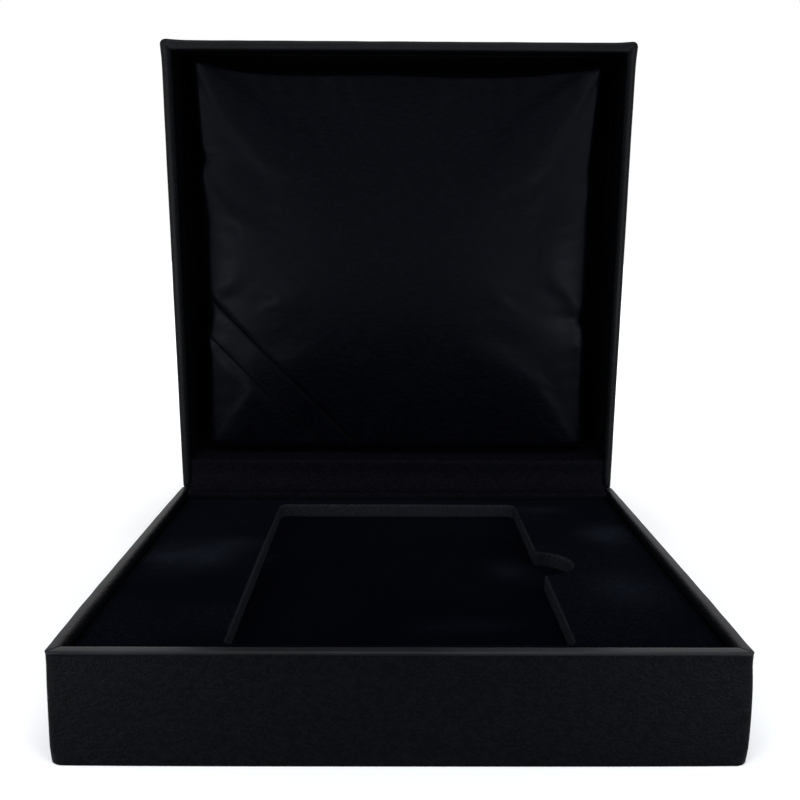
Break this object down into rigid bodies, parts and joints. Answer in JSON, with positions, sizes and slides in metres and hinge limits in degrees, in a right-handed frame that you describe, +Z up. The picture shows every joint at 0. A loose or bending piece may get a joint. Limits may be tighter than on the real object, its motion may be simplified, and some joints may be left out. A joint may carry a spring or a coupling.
{
  "type": "presentation box",
  "caption": "Leatherette-covered box for a bullion bar, with a velvet insert recessed for a card-sized holder and a hinged lid with a padded satin lining and ribbon.",
  "frame": {"origin": "middle of the flat underside that the box rests on", "axes": "+Z up, -Y towards the front of the box, +Y towards its hinge, +X to the right as seen from the front"},
  "size_m": [0.108, 0.1227, 0.1263],
  "materials": {
    "greyboard": "bookbinder's grey board, matt",
    "rail_wood": "plain softwood, unfinished",
    "leatherette": "black leatherette, fine grain, satin sheen",
    "hinge_steel": "nickel-plated steel",
    "black_paper": "black lining paper, matt",
    "foam": "open-cell upholstery foam",
    "velvet": "black velvet, short pile",
    "satin": "black satin, soft gloss",
    "ribbon_satin": "black satin ribbon"
  },
  "bodies": {
    "base": {"base_floor_board": "greyboard", "base_front_board": "greyboard", "base_back_board": "greyboard", "base_left_board": "greyboard", "base_right_board": "greyboard", "base_hinge_rail": "rail_wood", "base_wrap": "leatherette", "base_hinge_leaves": "hinge_steel", "base_hinge_screws": "hinge_steel", "hinge_pins": "hinge_steel", "underside_sheet": "black_paper", "insert_foam_block": "foam", "recess_board": "greyboard", "recess_velvet": "velvet", "insert_platform": "greyboard", "insert_velvet": "velvet", "inner_hinge_strip": "leatherette", "back_spine": "leatherette"},
    "lid": {"lid_top_board": "greyboard", "lid_front_board": "greyboard", "lid_back_board": "greyboard", "lid_left_board": "greyboard", "lid_right_board": "greyboard", "lid_hinge_rail": "rail_wood", "lid_wrap": "leatherette", "lid_hinge_leaves": "hinge_steel", "lid_hinge_screws": "hinge_steel", "lid_lining_paper": "black_paper", "cushion_board": "greyboard", "cushion_foam": "foam", "lid_cushion": "satin", "certificate_ribbon": "ribbon_satin"}
  },
  "joints": [
    {"name": "lid_hinge", "type": "hinge", "parent": "base", "child": "lid", "pos_m": [0, 0.0526, 0.01865], "axis": [1, 0, 0], "range_deg": [0, 83.8], "deforming": ["inner_hinge_strip", "back_spine"]}
  ]
}
